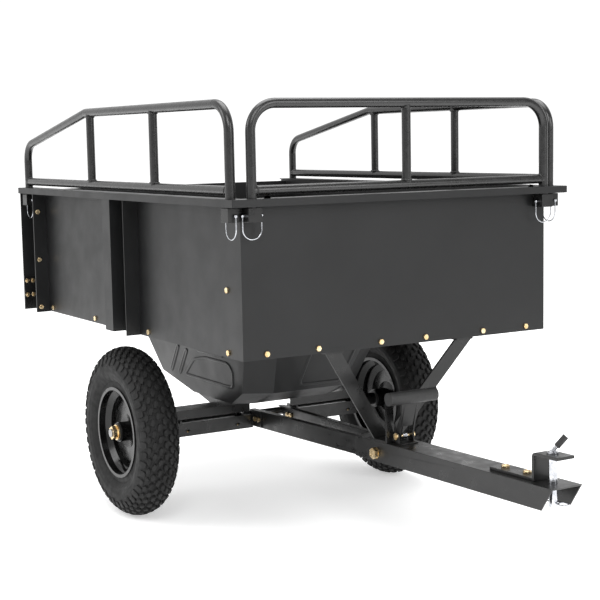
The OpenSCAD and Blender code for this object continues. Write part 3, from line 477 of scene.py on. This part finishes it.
def rounded(pts, r, steps=5):
    """A closed outline with each corner turned into an arc-like curve of about radius r"""
    out = []
    n = len(pts)
    for i, p in enumerate(pts):
        a, b = pts[i - 1] - p, pts[(i + 1) % n] - p
        da, db = min(r, a.length * 0.45), min(r, b.length * 0.45)
        a, b = p + a.normalized() * da, p + b.normalized() * db
        for k in range(steps + 1):
            t = k / steps
            out.append(a * (1 - t) ** 2 + p * 2 * t * (1 - t) + b * t * t)
    return out


def well_beads():
    """Pressed beads on the outside of the well: a framed panel and two slanting ribs on each side"""
    bm = bmesh.new()
    for s in (-1, 1):
        def side(y, z):
            return at_axle(s * (WELL_HALF_X + (z - WELL_EDGE_Z) * SIDE_SLOPE), y, z)
        out = Vector((s, 0, -SIDE_SLOPE)).normalized()
        for ring in (((48, 346), (-20, 358), (-136, 358), (-150, 340), (-132, 298), (120, 298)),
                     ((22, 372), (-118, 372), (-118, 425), (22, 425)),
                     ((84, 366), (74, 366), (150, 296), (160, 296)),
                     ((128, 372), (118, 372), (196, 298), (206, 298))):
            emboss(bm, rounded([side(*q) for q in ring], 0.012), out, BEAD_TALL, BEAD_WIDE)
    for s, shift in ((-1, 0), (1, WELL_LONGER_BEHIND)):
        def end(x, z):
            return at_axle(x, s * (WELL_HALF_Y + (z - WELL_EDGE_Z) * END_SLOPE) + shift, z)
        out = Vector((0, s, -END_SLOPE)).normalized()
        ring = ((-22, 400), (100, 400), (84, 305), (-32, 305))
        emboss(bm, rounded([end(*q) for q in ring], 0.014), out, BEAD_TALL, BEAD_WIDE)
    piece("well_beads", bm, "bed_steel", "bed", angle=0.9)


def rail_welds():
    """Weld beads where the rails' tubes meet"""
    weld_r = RAIL_R - 0.0004
    across, along, up = (1, 0, 0), (0, 1, 0), (0, 0, 1)
    for name in ("rail_left", "rail_right"):
        lo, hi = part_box(name)
        x = (lo.x + hi.x) / 2
        bm = bmesh.new()
        for y in UPRIGHTS:
            weld_ring(bm, (x, y + AXLE_Y / 1000, RAIL_BAR_Z + RAIL_R), up, weld_r)
            weld_ring(bm, (x, y + AXLE_Y / 1000, hi.z - 2 * RAIL_R), up, weld_r)
        weld_ring(bm, (x, lo.y + 2 * RAIL_R, RAIL_BAR_Z), along, weld_r)
        weld_ring(bm, (x, hi.y - 2 * RAIL_R, RAIL_BAR_Z), along, weld_r)
        piece(name + "_welds", bm, "rail_steel", "bed", angle=1.2)
    lo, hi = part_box("rail_front")
    y = (lo.y + hi.y) / 2
    bm = bmesh.new()
    weld_ring(bm, (0, y, RAIL_BAR_Z + RAIL_R), up, weld_r)
    weld_ring(bm, (0, y, hi.z - 2 * RAIL_R), up, weld_r)
    weld_ring(bm, (lo.x + 2 * RAIL_R, y, RAIL_BAR_Z), across, weld_r)
    weld_ring(bm, (hi.x - 2 * RAIL_R, y, RAIL_BAR_Z), across, weld_r)
    piece("rail_front_welds", bm, "rail_steel", "bed", angle=1.2)


# ---------------------------------------------------------------- CAD nodes
slots = {s["node"]: s["material_slot"] for s in frame["record"]["subparts"]}
# Wide flat sheets, whose edges stay sharp so that their faces shade evenly
WIDE = {n for n in NODES if "panel" in n or n.startswith("rim_") or n in ("floor_pan", "tailgate")}


def finish_nodes():
    for name, o in NODES.items():
        o.data.materials.clear()
        o.data.materials.append(MAT[slots[name]])
        if slots[name] in ("bed_steel", "frame_steel") and "sleeves" not in name:
            weld = o.modifiers.new("join", "WELD")
            weld.merge_threshold = 1e-5
            if name in WIDE:
                continue
            bevel = o.modifiers.new("edge", "BEVEL")
            bevel.width = 0.0006
            bevel.segments = 2
            bevel.limit_method = "ANGLE"
            bevel.angle_limit = math.radians(50)
            bevel.harden_normals = False
            flat = o.modifiers.new("flat", "WEIGHTED_NORMAL")
            flat.keep_sharp = True
            flat.weight = 60


make_camera()
stage()
finish_nodes()
for side in ("left", "right"):
    tyre(side)
for name, body in (("panel_bolts", "bed"), ("chassis_bolts", "chassis"), ("hitch_bolts", "chassis")):
    bolts(name, body)
well_beads()
rail_welds()

bpy.context.view_layer.update()
